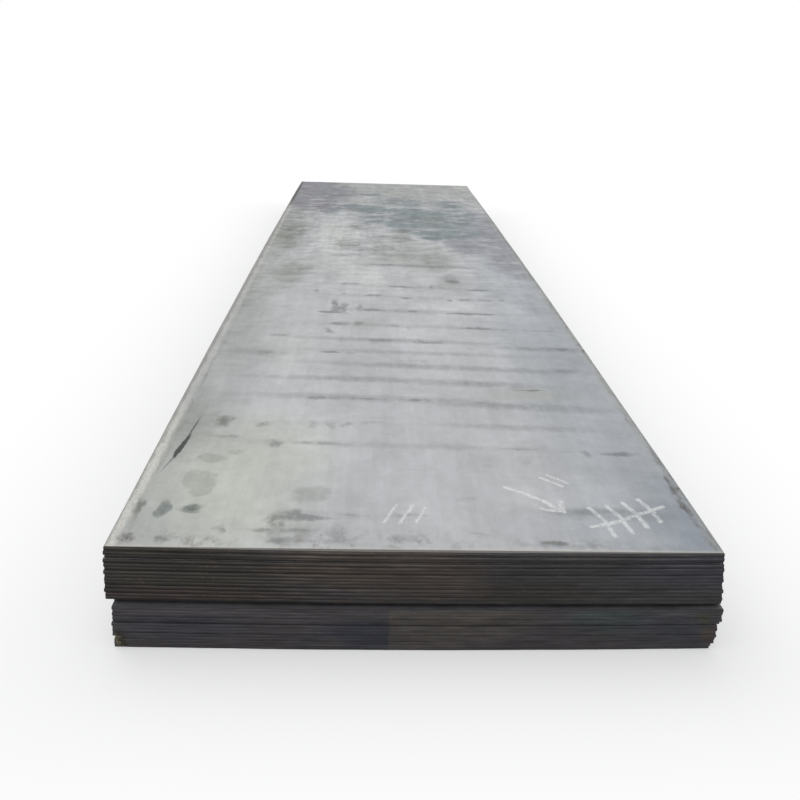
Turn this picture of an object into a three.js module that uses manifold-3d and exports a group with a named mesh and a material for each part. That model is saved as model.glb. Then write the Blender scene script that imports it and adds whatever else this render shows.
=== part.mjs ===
// A stack of hot-rolled steel plates in two bundles, one lying on the other.
// Millimetres, +Z up. The plates' length runs along Y and their width along X.
// The origin is at the middle of the stack's footprint, at floor level.

import * as THREE from "three";
import { mergeVertices } from "three/addons/utils/BufferGeometryUtils.js";
import Module from "manifold-3d";

const wasm = await Module();
wasm.setup();

// ---- Driving dimensions ----

const PLATE_LENGTH = 6000; // cut length of every plate
const PLATE_WIDTH = 1500; // rolled width of the upper bundle's plates
const UPPER_THICKNESS = 10;
const LOWER_THICKNESS = 9;
const SEAM = 0.3; // gap that mill scale leaves between two plates that lie on each other

// Long sides: mill edges, as the rolls leave them.
const MILL_BULGE = 2.6; // how far the rounded side stands out past the flat faces
const MILL_FACETS = 8; // flats round one mill edge

// Ends: cut by a shear, whose blade rolls one edge over before the steel cracks.
const ROLLOVER_DEPTH = 1.3; // height of the edge that the blade draws down
const ROLLOVER_REACH = 1.9; // length of face that it draws down
const ROLLOVER_FACETS = 4;
const BURNISH_HEIGHT = 3.2; // smooth, upright band that the blade slides along
const FRACTURE_LEAN = 0.5; // how far the torn band below it leans out

// How the plates were landed. A plate of a lift is moved by up to these amounts from its lift.
const SIDE_SCATTER = 1.2;
const END_SCATTER = 1.4;
const LENGTH_SCATTER = 4; // spread of the cut length, which shows at the far end
const SCATTER_STEP = 2.4; // radians between two plates, so that neighbours never match

// Turn of the lower bundle about the vertical, in radians, and how far it stands proud of the upper one.
const LOWER_TURN = 0.0045;
const LOWER_PROUD = 10;

// Lifts, from the floor up: plates of one width that were landed together.
// narrower: how much less than PLATE_WIDTH they measure, and less than 0 where they are wider;
// aside: where their middle lies along X; back: how far their front end is drawn back from the
// bundle's front; turn: about the vertical, in radians.
const LOWER_LIFTS = [
  { count: 2, narrower: 14, aside: -10, back: 3, turn: 0 },
  { count: 2, narrower: 8.5, aside: -3.5, back: 0, turn: 0 },
  { count: 4, narrower: 3, aside: -5.7, back: 0, turn: 0.0004 },
  { count: 1, narrower: 2, aside: -1.7, back: 2, turn: 0 },
  { count: 4, narrower: -1, aside: 0.6, back: 0, turn: 0 },
  { count: 1, narrower: 0, aside: 0.9, back: 22, turn: -0.0005 },
];
const UPPER_LIFTS = [
  { count: 4, narrower: -12, aside: 1.3, back: 0, turn: 0.0006 },
  { count: 1, narrower: -9, aside: -0.8, back: 4, turn: 0.001 },
  { count: 3, narrower: -6, aside: -5, back: 0, turn: 0.0023 },
  { count: 3, narrower: -1.5, aside: -6.2, back: 0, turn: 0.0023 },
  { count: 1, narrower: 1.7, aside: -5.8, back: 5, turn: 0.0019 },
  { count: 2, narrower: 4.6, aside: -0.5, back: 0, turn: 0 },
];

// ---- Materials ----

const upperSteel = new THREE.MeshStandardMaterial({
  name: "mill_scale_steel",
  color: 0xa9acb0,
  roughness: 0.55,
  metalness: 0.6,
});
const lowerSteel = new THREE.MeshStandardMaterial({
  name: "weathered_steel",
  color: 0x4c4a50,
  roughness: 0.7,
  metalness: 0.5,
});

// ---- One plate ----

// Section across the plate: flat faces joined by half-elliptic mill edges.
// x is across, y is up, and the section's middle is at the origin.
function millSection(width, thickness) {
  const section = new THREE.Shape();
  const flat = width / 2 - MILL_BULGE;
  section.moveTo(-flat, -thickness / 2);
  section.lineTo(flat, -thickness / 2);
  section.absellipse(flat, 0, MILL_BULGE, thickness / 2, -Math.PI / 2, Math.PI / 2);
  section.lineTo(-flat, thickness / 2);
  section.absellipse(-flat, 0, MILL_BULGE, thickness / 2, Math.PI / 2, (3 * Math.PI) / 2);
  return section.extractPoints(MILL_FACETS).shape;
}

// Points of one sheared end, from the rolled-over edge to the burr edge. x is outwards from
// the plate's end plane and y is down from the face that the blade entered.
function shearedEnd(thickness) {
  const depth = Math.min(ROLLOVER_DEPTH, thickness / 3);
  const burnish = Math.min(BURNISH_HEIGHT, thickness / 3);
  const rollover = new THREE.EllipseCurve(
    -ROLLOVER_REACH, depth, ROLLOVER_REACH, depth, -Math.PI / 2, 0,
  );
  return [
    ...rollover.getPoints(ROLLOVER_FACETS),
    new THREE.Vector2(0, depth + burnish),
    new THREE.Vector2(FRACTURE_LEAN, thickness),
  ];
}

// Section along the plate. The front end is rolled over at the top and the far end at the
// bottom, because one stroke of the shear cuts the end of one plate and the start of the next.
// x is towards the front and y is up.
function cutSection(length, thickness) {
  const end = shearedEnd(thickness);
  const front = end.map((p) => new THREE.Vector2(length / 2 + p.x, thickness / 2 - p.y));
  const far = front.map((p) => p.clone().negate());
  return [...front, ...far].reverse();
}

// A prism of an outline, as thick as depth, centred on the outline's plane.
function prism(outline, depth) {
  const solid = new THREE.ExtrudeGeometry(new THREE.Shape(outline), {
    depth,
    bevelEnabled: false,
  });
  return solid.translate(0, 0, -depth / 2);
}

function toManifold(geometry) {
  geometry.deleteAttribute("normal");
  geometry.deleteAttribute("uv");
  const merged = mergeVertices(geometry, 1e-4);
  return new wasm.Manifold(
    new wasm.Mesh({
      numProp: 3,
      vertProperties: merged.attributes.position.array,
      triVerts: new Uint32Array(merged.index.array),
    }),
  );
}

function fromManifold(solid) {
  const mesh = solid.getMesh();
  const geometry = new THREE.BufferGeometry();
  geometry.setAttribute("position", new THREE.BufferAttribute(mesh.vertProperties, 3));
  geometry.setIndex(new THREE.BufferAttribute(mesh.triVerts, 1));
  geometry.computeVertexNormals();
  return geometry;
}

// The plate is what its two sections have in common: the mill section carried along Y
// and the cut section carried along X. Its middle is at the origin.
function plateGeometry(length, width, thickness) {
  const spare = 10; // each prism runs past the other's ends by this much
  const rolled = prism(millSection(width, thickness), length + spare);
  rolled.rotateX(Math.PI / 2);
  const cut = prism(cutSection(length, thickness), width + spare);
  cut.rotateX(Math.PI / 2);
  cut.rotateZ(-Math.PI / 2);
  return fromManifold(toManifold(rolled).intersect(toManifold(cut)));
}

// ---- The two bundles ----

// One bundle: its lifts, one on another, as a group whose lowest face is at its own z = 0.
function bundle(name, lifts, thickness, material) {
  const group = new THREE.Group();
  const plates = lifts.flatMap((lift) => Array.from({ length: lift.count }, () => lift));
  plates.forEach((lift, i) => {
    const length = PLATE_LENGTH + LENGTH_SCATTER * Math.cos(SCATTER_STEP * 2 * i);
    const plate = new THREE.Mesh(
      plateGeometry(length, PLATE_WIDTH - lift.narrower, thickness),
      material.clone(),
    );
    plate.name = `${name}_plate_${String(i + 1).padStart(2, "0")}`;
    plate.position.set(
      lift.aside + SIDE_SCATTER * Math.sin(SCATTER_STEP * i),
      (length - PLATE_LENGTH) / 2 + lift.back + END_SCATTER * Math.cos(SCATTER_STEP * i),
      thickness / 2 + i * (thickness + SEAM),
    );
    plate.rotation.z = lift.turn;
    group.add(plate);
  });
  group.userData.height = plates.length * (thickness + SEAM);
  return group;
}

const group = new THREE.Group();

const lower = bundle("lower", LOWER_LIFTS, LOWER_THICKNESS, lowerSteel);
lower.rotation.z = LOWER_TURN;
lower.position.y = -LOWER_PROUD;
group.add(lower);

const upper = bundle("upper", UPPER_LIFTS, UPPER_THICKNESS, upperSteel);
upper.position.z = lower.userData.height;
group.add(upper);

// The origin goes to the middle of the footprint, on the floor.
const box = new THREE.Box3().setFromObject(group, true);
const middle = box.getCenter(new THREE.Vector3());
group.position.set(-middle.x, -middle.y, -box.min.z);

export default group;
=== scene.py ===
"""A stack of hot-rolled steel plates: fine surfaces, finishes, floor, light and camera.

Metres, +Z up, +Y from the stack's front end to its far end, +X to the right as seen from
the front. Every plate takes its place and its size from the frame, and then bows a little.
"""

import math

import bpy
import numpy as np
from mathutils import Matrix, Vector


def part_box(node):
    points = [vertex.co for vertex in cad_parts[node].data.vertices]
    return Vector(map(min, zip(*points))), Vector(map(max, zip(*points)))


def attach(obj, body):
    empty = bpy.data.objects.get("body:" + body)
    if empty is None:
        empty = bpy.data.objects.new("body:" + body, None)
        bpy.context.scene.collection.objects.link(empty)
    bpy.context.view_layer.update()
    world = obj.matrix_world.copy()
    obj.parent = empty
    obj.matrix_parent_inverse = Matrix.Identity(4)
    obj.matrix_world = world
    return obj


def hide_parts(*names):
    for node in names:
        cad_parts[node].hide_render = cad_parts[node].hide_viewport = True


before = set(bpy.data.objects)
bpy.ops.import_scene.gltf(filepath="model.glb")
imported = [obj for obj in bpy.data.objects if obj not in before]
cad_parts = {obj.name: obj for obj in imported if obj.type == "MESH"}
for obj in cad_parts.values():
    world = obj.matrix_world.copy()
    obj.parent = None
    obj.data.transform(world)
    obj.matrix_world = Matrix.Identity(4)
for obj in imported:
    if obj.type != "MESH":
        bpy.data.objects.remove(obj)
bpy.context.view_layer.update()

bl_info = {
    "name": "Steel plate stack",
    "version": (1, 0, 0),
    "blender": (4, 5, 0),
    "location": "3D View > Sidebar > Plate stack",
    "description": "Dresses a stack of hot-rolled steel plates and sets its stage",
    "category": "Add Mesh",
}


def bundle_nodes(bundle):
    """The nodes of a bundle, from its lowest plate to its highest."""
    return sorted(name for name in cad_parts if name.startswith(bundle + "_plate"))


TOP_NODE = bundle_nodes("upper")[-1]
TOP_LOW, TOP_HIGH = (np.array(corner, float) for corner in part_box(TOP_NODE))
TOP_WIDTH = float(TOP_HIGH[0] - TOP_LOW[0])
STACK_HEIGHT = float(TOP_HIGH[2])
FRONT_LEFT = (float(TOP_LOW[0]), float(TOP_LOW[1]), 0.0)
MM = 0.001

# A plate's ends and sides, as the shear and the rolls leave them.
MILL_BULGE = 0.0015
MILL_FULLNESS = 0.7
ROLLOVER_DEPTH = 0.0013
ROLLOVER_REACH = 0.0019
BURNISH_HEIGHT = 0.0032
FRACTURE_LEAN = 0.0005

# Wander of an edge: (wavelength, height) of the waves that are added up.
SHEAR_WAVES = ((0.93, 0.00030), (0.37, 0.00022), (0.15, 0.00016), (0.052, 0.00012))
MILL_WAVES = ((2.30, 0.00050), (0.94, 0.00025), (0.33, 0.00012), (0.12, 0.00006))

# Distance over which each of these dies away by a factor of e, inwards from the edge or end.
WANDER_REACH = 0.02
FRONT_BOW_REACH = 0.4
FRONT_SPRING_REACH = 0.35
FAR_SPRING_REACH = 0.45
GAPE_REACH_ACROSS = 0.36
GAPE_REACH_ALONG = 0.5

# Seams that gape at the front's left corner: how high, by the seam's number from the floor.
GAPING_SEAMS = {14: 0.0005, 18: 0.0002, 25: 0.0003, 26: 0.0003}

# Seeds of the random draws. A plate adds its level to the first five.
FRONT_SEED, FAR_SEED, LEFT_SEED, RIGHT_SEED, TONE_SEED = 100, 200, 300, 400, 500
SEAM_SEED = 41

# Mesh steps along the plate on top and along a covered one, the angle of a sharp edge, and
# how far the pattern of an end moves from one plate to the next.
TOP_STEPS = 220
COVERED_STEPS = 24
SHARP_ANGLE = math.radians(38.0)
OWN_OFFSET = 3.0

# Faces of a plate, by the material that they take.
TOP_FACE, HIDDEN_FACE, CUT_END, MILL_EDGE = range(4)

# The floor: half its side, its drop below the lowest plate, and the distances from the
# stack between which its paint fades to plain white.
FLOOR_REACH = 60.0
FLOOR_DROP = 0.0004
FADE_START, FADE_END = 0.02, 0.8

# The overhead lamp: how wide it looks from the stack, and how far it leans to the far end
# and to one side.
LAMP_WIDTH = math.radians(75.0)
LAMP_TURN = (math.radians(-16.0), math.radians(-14.0), 0.0)


# ---- Settings ----

LENGTH = {"min": 0.0, "subtype": "DISTANCE", "unit": "LENGTH"}
COLOUR = {"size": 3, "min": 0.0, "max": 1.0, "subtype": "COLOR"}


class PlateShapeSettings(bpy.types.PropertyGroup):
    """How far the plates depart from flat, straight sheets."""

    flatness: bpy.props.FloatProperty(
        name="Flatness wave", default=0.0003, max=0.004, **LENGTH,
        description="Height of the long waves at the top of the stack",
    )
    seam_opening: bpy.props.FloatProperty(
        name="Seam opening", default=0.00004, max=0.001, **LENGTH,
        description="How far the steel springs apart at the ends, seam by seam",
    )
    edge_wander: bpy.props.FloatProperty(
        name="Edge wander", default=1.0, min=0.0, max=3.0, subtype="FACTOR",
        description="Multiplies the waviness of sheared ends and mill edges",
    )
    side_bow: bpy.props.FloatProperty(
        name="Side bow", default=0.014, max=0.02, **LENGTH,
        description="How much the long sides swell at mid-length, as rolled",
    )
    front_bow: bpy.props.FloatProperty(
        name="Front bow", default=0.010, max=0.02, **LENGTH,
        description="How much the front ends swell at mid-width",
    )
    across_step: bpy.props.FloatProperty(
        name="Grid step across", default=0.0118, min=0.004, max=0.1, subtype="DISTANCE",
        unit="LENGTH",
        description="Distance between two mesh lines across a plate",
    )


class PlateFinishSettings(bpy.types.PropertyGroup):
    """Colours of the steel, some with painted shade and painted reflection in them."""

    # Painted reflection: the top face's scale colour is paler than the scale itself, standing in
    # for the bright sky mirrored in it.
    scale_and_reflection_colour: bpy.props.FloatVectorProperty(
        name="Mill scale", default=(0.475, 0.481, 0.496), **COLOUR,
        description="Mill scale of the top plate's face, paled by painted reflection",
    )
    # Painted shade: the colours of the sheared ends are much darker than the cut steel itself,
    # standing in for the shade on ends that face away from the light from above.
    upper_end_with_shade: bpy.props.FloatVectorProperty(
        name="Upper sheared ends", default=(0.033, 0.031, 0.032), **COLOUR,
        description="Bare cut steel of the upper bundle, darkened by painted shade",
    )
    lower_end_with_shade: bpy.props.FloatVectorProperty(
        name="Lower sheared ends", default=(0.0505, 0.0460, 0.0492), **COLOUR,
        description="Cut steel of the lower bundle, weathered blue-grey and darkened by painted shade",
    )
    rust_colour: bpy.props.FloatVectorProperty(
        name="Rust", default=(0.085, 0.058, 0.038), **COLOUR,
        description="Brown rust on cut ends and along the mill edges",
    )
    chalk_colour: bpy.props.FloatVectorProperty(
        name="Chalk", default=(0.80, 0.81, 0.80), **COLOUR,
        description="Chalk tally strokes and arrow on the top plate",
    )
    streak_depth: bpy.props.FloatProperty(
        name="Streak darkness", default=0.62, min=0.0, max=1.0, subtype="FACTOR",
        description="How dark the cross streaks are on the top plate",
    )


class PlateStageSettings(bpy.types.PropertyGroup):
    """Camera, light and floor."""

    camera_place: bpy.props.FloatVectorProperty(
        name="Camera place",
        description="Where the camera stands, in the frame",
        default=(TOP_LOW[0] + 0.6139, TOP_LOW[1] - 1.7636, STACK_HEIGHT + 1.1263),
        size=3, subtype="TRANSLATION", unit="LENGTH",
    )
    camera_turn: bpy.props.FloatVectorProperty(
        name="Camera turn",
        description="Tilt below the horizon, turn to the right and roll",
        default=(math.radians(19.265), math.radians(2.388), math.radians(1.913)),
        size=3, subtype="EULER",
    )
    focal_length: bpy.props.FloatProperty(
        name="Focal length", default=38.28, min=10.0, max=200.0,
        description="Focal length in millimetres on a sensor 36 mm wide",
    )
    rise: bpy.props.FloatProperty(
        name="Lens rise", default=0.0625, min=-0.2, max=0.2, subtype="FACTOR",
        description="Shift of the frame downwards, as a share of the sensor's width",
    )
    sky_strength: bpy.props.FloatProperty(
        name="Sky strength", default=0.59, min=0.0, max=3.0,
        description="Even light from all round",
    )
    lamp_strength: bpy.props.FloatProperty(
        name="Overhead lamp", default=1.20, min=0.0, max=10.0,
        description="Soft light from above and behind",
    )
    floor_colour: bpy.props.FloatVectorProperty(
        name="Floor", default=(0.93, 0.93, 0.93), **COLOUR,
        description="Plain pale floor",
    )


# ---- Surfaces ----


def wander(along, waves, seed):
    """Waviness of an edge: the sum of height * sin(2 pi along / wavelength + phase) over the
    waves, with every phase drawn from the seed."""
    phases = np.random.default_rng(seed).uniform(0.0, 2.0 * np.pi, len(waves))
    return sum(
        height * np.sin(2.0 * np.pi * along / length + phase)
        for (length, height), phase in zip(waves, phases)
    )


def plate_place(node):
    """Middle, axes, width, length and thickness of a plate, read from its solid.

    The second axis is the unit vector from the middle of the near end's box to that of the
    far end's, and the first is square to it. Length and width are the reaches along them."""
    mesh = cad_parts[node].data
    corners = np.empty(len(mesh.vertices) * 3, np.float32)
    mesh.vertices.foreach_get("co", corners)
    corners = corners.reshape(-1, 3).astype(float)
    is_far = corners[:, 1] > corners[:, 1].mean()
    ends = [corners[half].min(0) + corners[half].max(0) for half in (~is_far, is_far)]
    heading = (ends[1] - ends[0])[:2]
    heading /= np.linalg.norm(heading)
    axes = np.array([[heading[1], -heading[0]], heading])
    local = corners[:, :2] @ axes.T
    low, high = local.min(0), local.max(0)
    middle = np.append(((low + high) / 2.0) @ axes, corners[:, 2].min())
    width, length = high - low
    return middle, axes, width, length - 2.0 * FRACTURE_LEAN, np.ptp(corners[:, 2])


def end_profile(thickness):
    """Upper and lower half of a sheared end, as (outwards, up) from the end's mid-height.

    The upper half rises up the burnished band and turns inwards over a quarter ellipse, the
    rolled-over edge. The lower half leans out in a straight line down to the burr."""
    half = thickness / 2.0
    torn = thickness - ROLLOVER_DEPTH - BURNISH_HEIGHT
    mid_lean = FRACTURE_LEAN * (1.0 - half / torn)
    turn = np.linspace(0.0, np.pi / 2.0, 6)
    upper = [[mid_lean, 0.0], [0.0, torn - half], [0.0, torn - half + BURNISH_HEIGHT / 2.0]]
    inwards = -ROLLOVER_REACH * (1.0 - np.cos(turn))
    roll = np.stack([inwards, half - ROLLOVER_DEPTH * (1.0 - np.sin(turn))], axis=1)
    drop = np.linspace(0.25, 1.0, 4)
    lower = np.stack([mid_lean + (FRACTURE_LEAN - mid_lean) * drop, -half * drop], axis=1)
    return np.concatenate([upper, roll]), lower


def plate_chain(length, thickness, steps):
    """The upper line along a plate, as (along, up): from the front end's mid-height over the
    rolled-over edge, along the face and down to the far end's mid-height. The steps along
    the face are halfway between even ones and ones that a cosine shortens at the ends.

    The lower line is the same one turned half round, since the shear leaves the two ends
    as each other's point reflection."""
    upper, lower = end_profile(thickness)
    front = np.stack([-length / 2.0 - upper[:, 0], upper[:, 1]], axis=1)
    far = np.stack([length / 2.0 + lower[:, 0], -lower[:, 1]], axis=1)[::-1]
    start, stop = front[-1, 0], far[0, 0]
    ease = (1.0 - np.cos(np.linspace(0.0, np.pi, steps + 2)))[1:-1] / 2.0
    even = np.linspace(0.0, 1.0, steps + 2)[1:-1]
    along = start + (stop - start) * (0.5 * ease + 0.5 * even)
    face = np.stack([along, np.full(steps, thickness / 2.0)], axis=1)
    middle = [[-front[0, 0], 0.0]]
    return np.concatenate([front, face, far, middle]), len(front), len(far) + 1


def mill_stations(width, step):
    """Positions across a plate and the share of its half thickness at each: 1 over the flat,
    and round a mill edge a curve a little fuller than half an ellipse, whose reach is the
    sine of the angle, and whose share is its cosine, both to the power of the fullness."""
    angle = np.radians([0.0, 20.0, 38.0, 54.0, 68.0, 80.0])
    flat = width / 2.0 - MILL_BULGE
    inner = np.linspace(-flat, flat, int(round(2.0 * flat / step)) + 1)[1:-1]
    side = flat + MILL_BULGE * np.sin(angle) ** MILL_FULLNESS
    fall = np.cos(angle) ** MILL_FULLNESS
    across = np.concatenate([-side[::-1], inner, side])
    share = np.concatenate([fall[::-1], np.ones(len(inner)), fall])
    return across, share, len(angle)


def long_waves(x, y):
    """Flatness of a rolled plate: two crossed pairs of long sine waves, between -1 and 1."""
    along = 0.6 * np.sin(2.0 * np.pi * y / 2.9 + 0.7) + 0.4 * np.sin(2.0 * np.pi * y / 1.27 + 2.1)
    across = 0.7 * np.cos(2.0 * np.pi * x / 1.9 + 0.4) + 0.3 * np.sin(2.0 * np.pi * x / 0.71)
    return 0.55 * along + 0.45 * across


def seam_lift(x, y, level, opening):
    """How far the plates under a plate spring apart: for every seam below it, opening times
    a raised cosine across, dying away exponentially from either end. Gaping seams add a
    bell curve at the front's left corner. Nothing is ever pushed down."""
    from_front = np.clip(y - FRONT_LEFT[1], 0.0, None)
    from_far = np.clip(TOP_HIGH[1] - y, 0.0, None)
    ends = np.exp(-from_front / FRONT_SPRING_REACH)
    ends = ends + 0.7 * np.exp(-from_far / FAR_SPRING_REACH)
    corner = np.exp(-(((x - FRONT_LEFT[0]) / GAPE_REACH_ACROSS) ** 2))
    corner = corner * np.exp(-from_front / GAPE_REACH_ALONG)
    total = np.zeros(np.broadcast(x, y).shape)
    draws = np.random.default_rng(SEAM_SEED).uniform(0.0, 1.0, (64, 3))
    for seam in range(1, level + 1):
        size, reach, phase = draws[seam]
        wave = 0.5 + 0.5 * np.cos(x / (0.16 + 0.30 * reach) + 2.0 * np.pi * phase)
        total = total + opening * 2.0 * size * wave * ends
        total = total + GAPING_SEAMS.get(seam, 0.0) * corner
    return total


def sheet_surface(sheet, across, share, place, level, shape):
    """One sheet of a plate as a grid of points: height = the line's height * the share.

    Each side moves out by its bow * (1 - (2 along / length)^2) and the front by its bow *
    (1 - (2 across / width)^2), dying away behind it. Ends and sides wander, the long waves
    grow with the height above the floor, and the seams below lift the sheet. The second
    result is each point's height in the plate, from 0 to 1."""
    middle, axes, width, length, thickness = place
    along = np.repeat(sheet[:, :1], len(across), axis=1)
    side = np.repeat(across[None, :], len(sheet), axis=0)
    up = sheet[:, 1:] * share[None, :]

    def waves_at(from_edge, position, waves, seed):
        fade = np.exp(-np.abs(from_edge) / WANDER_REACH)
        return fade * wander(position, waves, seed + level)

    cut = waves_at(along + length / 2.0, side, SHEAR_WAVES, FRONT_SEED)
    cut = cut + waves_at(along - length / 2.0, side, SHEAR_WAVES, FAR_SEED)
    mill = waves_at(side + width / 2.0, along, MILL_WAVES, LEFT_SEED)
    mill = mill + waves_at(side - width / 2.0, along, MILL_WAVES, RIGHT_SEED)
    side_bow = shape.side_bow * (1.0 - (2.0 * along / length) ** 2)
    front_bow = shape.front_bow * (1.0 - (2.0 * side / width) ** 2)
    bowed_side = side * (1.0 + 2.0 * side_bow / width)
    bowed_along = along - front_bow * np.exp(-(along + length / 2.0) / FRONT_BOW_REACH)
    local = [bowed_side + shape.edge_wander * mill, bowed_along + shape.edge_wander * cut]
    plan = np.stack(local, -1) @ axes + middle[:2]
    x, y = plan[..., 0], plan[..., 1]
    rest = middle[2] + thickness / 2.0
    rise = shape.flatness * long_waves(x, y) * rest / STACK_HEIGHT * min(level, 1)
    lift = seam_lift(x, y, level, shape.seam_opening)
    return np.stack([x, y, rest + up + rise + lift], -1), 0.5 + up / thickness


def plate_mesh(name, node, level, shape, top):
    """One plate as a closed surface.

    The upper and the lower sheet are each a line along the plate (plate_chain) times a
    section across it (mill_stations). They share the lines at mid-height of both ends, and
    a narrow band closes each side, with a triangle where the sheets meet."""
    place = plate_place(node)
    steps = TOP_STEPS if top else COVERED_STEPS
    chain, front_rows, far_rows = plate_chain(*place[3:], steps)
    across, share, mill_count = mill_stations(place[2], shape.across_step)
    rows, columns = len(chain), len(across)
    sheets = [
        sheet_surface(sheet, across, share, place, level, shape)
        for sheet in (chain, -chain[::-1])
    ]
    points = np.concatenate([sheets[0][0].reshape(-1, 3), sheets[1][0][1:-1].reshape(-1, 3)])
    height = np.concatenate([sheets[0][1].ravel(), sheets[1][1][1:-1].ravel()])
    upper = np.arange(rows * columns).reshape(rows, columns)
    lower = np.empty_like(upper)
    lower[0], lower[-1] = upper[0], upper[-1]
    lower[1:-1] = rows * columns + np.arange((rows - 2) * columns).reshape(rows - 2, columns)

    edge = np.arange(columns - 1)
    is_mill = (edge < mill_count - 1) | (edge >= columns - mill_count)
    row = np.arange(rows - 1)
    is_end = (row < front_rows - 1) | (row >= rows - far_rows)
    faces, kinds = [], []
    for grid, ends, turn, kind in (
        (upper, is_end, 1, TOP_FACE if top else HIDDEN_FACE),
        (lower, is_end[::-1], -1, HIDDEN_FACE),
    ):
        quads = np.stack([grid[:-1, :-1], grid[:-1, 1:], grid[1:, 1:], grid[1:, :-1]], -1)
        sheet_kinds = np.full((rows - 1, columns - 1), kind)
        sheet_kinds[:, is_mill] = MILL_EDGE
        sheet_kinds[ends, :] = CUT_END
        faces.append(quads[..., ::turn].reshape(-1, 4))
        kinds.append(sheet_kinds.ravel())
    triangles = []
    for column, turn in ((0, 1), (-1, -1)):
        a, b = upper[:, column], lower[:, column]
        band = np.stack([a[:-1], a[1:], b[1:], b[:-1]], -1)[:, ::turn]
        faces.append(band[1:-1])
        triangles += [band[0, :3], band[-1, [0, 1, 3]]]
    faces = np.concatenate(faces).tolist() + np.array(triangles).tolist()
    kinds = np.concatenate(kinds)
    kinds = np.append(kinds, np.full(len(faces) - len(kinds), MILL_EDGE))

    mesh = bpy.data.meshes.new(name)
    mesh.from_pydata(points.tolist(), [], faces)
    mesh.polygons.foreach_set("material_index", kinds.astype(np.int32))
    mesh.polygons.foreach_set("use_smooth", np.ones(len(kinds), bool))
    # The finishes read a place that differs from plate to plate, the height and the tone.
    own_place = points[:, 0] + OWN_OFFSET * level
    tone = np.random.default_rng(TONE_SEED + level).uniform(0.0, 1.0)
    plate = np.stack([own_place, height, np.full(len(height), tone)], -1)
    attribute = mesh.attributes.new("plate", "FLOAT_VECTOR", "POINT")
    attribute.data.foreach_set("vector", plate.astype(np.float32).ravel())
    mesh.update(calc_edges=True)
    mesh.set_sharp_from_angle(angle=SHARP_ANGLE)
    return mesh


def place_plate(node, level, slot, materials, shape):
    """Puts one plate's surface in the scene, in place of its solid."""
    name = node.replace("_plate_", "_steel_plate_")
    mesh = plate_mesh(name, node, level, shape, node == TOP_NODE)
    for material in materials:
        mesh.materials.append(material)
    piece = bpy.data.objects.new(name, mesh)
    bpy.context.scene.collection.objects.link(piece)
    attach(piece, "root")
    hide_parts(node)


# ---- Shader nodes ----


class Tree:
    """Adds nodes to one shader tree. Inputs are sockets or plain values, by name or order."""

    def __init__(self, tree):
        self.tree = tree

    def node(self, kind, inputs=(), **settings):
        row, column = divmod(len(self.tree.nodes), 14)
        node = self.tree.nodes.new(kind)
        node.location = (190 * column, -230 * row)
        for key, value in settings.items():
            setattr(node, key, value)
        pairs = inputs.items() if isinstance(inputs, dict) else enumerate(inputs)
        for key, value in pairs:
            if isinstance(value, bpy.types.NodeSocket):
                self.tree.links.new(value, node.inputs[key])
            else:
                node.inputs[key].default_value = value
        return node

    def place(self):
        """Object coordinates."""
        return self.node("ShaderNodeTexCoord").outputs["Object"]

    def plate(self):
        """The attribute that plate_mesh gives: place across, height and tone of the plate."""
        return self.node("ShaderNodeAttribute", attribute_name="plate").outputs["Vector"]

    def split(self, vector):
        return self.node("ShaderNodeSeparateXYZ", (vector,)).outputs

    def math(self, operation, *inputs, clamp=False):
        return self.node("ShaderNodeMath", inputs, operation=operation, use_clamp=clamp).outputs[0]

    def times(self, first, *others):
        """The product of all the values."""
        for other in others:
            first = self.math("MULTIPLY", first, other)
        return first

    def linear(self, value, factor, start):
        """The value times the factor, on top of the start."""
        return self.math("MULTIPLY_ADD", value, factor, start)

    def spread(self, value, low, high, to_low=0.0, to_high=1.0):
        """Smooth step from low to high."""
        inputs = (value, low, high, to_low, to_high)
        return self.node("ShaderNodeMapRange", inputs, interpolation_type="SMOOTHSTEP").outputs[0]

    def vector(self, operation, *inputs):
        node = self.node("ShaderNodeVectorMath", inputs, operation=operation)
        gives_number = operation in ("DOT_PRODUCT", "LENGTH", "DISTANCE")
        return node.outputs[1 if gives_number else 0]

    def noise(self, place, scale, detail, roughness, colour=False):
        """Noise at the place, with one scale or with one for each axis, 1 if none is given."""
        if isinstance(scale, tuple):
            place = self.vector("MULTIPLY", place, (*scale, 1.0)[:3])
            scale = 1.0
        inputs = {"Vector": place, "Scale": scale, "Detail": detail, "Roughness": roughness}
        return self.node("ShaderNodeTexNoise", inputs).outputs[1 if colour else 0]

    def moved(self, place, reach, scale, detail, roughness, at=None):
        """The place moved by up to the reach in x and in y, either way, by coloured noise
        that is taken at the place or at another one."""
        noise = self.noise(place if at is None else at, scale, detail, roughness, colour=True)
        x, y = reach
        noise = self.vector("MULTIPLY_ADD", noise, (2.0 * x, 2.0 * y, 0.0), (-x, -y, 0.0))
        return self.vector("ADD", place, noise)

    def mix(self, share, first, second, blend="MIX"):
        inputs = {0: share, 6: first, 7: second}
        node = self.node("ShaderNodeMix", inputs, data_type="RGBA", blend_type=blend)
        return node.outputs[2]

    def paint(self, colour, mask, tint, cover=None):
        """The colour with a tint over it where the mask is 1, as far as the cover goes."""
        share = mask if cover is None else self.times(mask, cover)
        return self.mix(share, colour, solid(tint))

    def shaded(self, colour, shade):
        """The colour times the shade."""
        grey = self.node("ShaderNodeCombineColor", (shade, shade, shade)).outputs[0]
        return self.mix(1.0, colour, grey, "MULTIPLY")

    def group(self, group, inputs):
        return self.node("ShaderNodeGroup", inputs, node_tree=group).outputs[0]

    def surface(self, shader, colour, roughness, relief, strength, distance):
        """Links the shader's colour, its roughness and a bump of the relief."""
        inputs = {"Strength": strength, "Distance": distance, "Height": relief}
        bump = self.node("ShaderNodeBump", inputs).outputs[0]
        self.tree.links.new(colour, shader.inputs["Base Color"])
        self.tree.links.new(roughness, shader.inputs["Roughness"])
        self.tree.links.new(bump, shader.inputs["Normal"])


def solid(colour, factor=1.0):
    """A colour times the factor, with full opacity."""
    return (*(factor * part for part in colour), 1.0)


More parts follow.
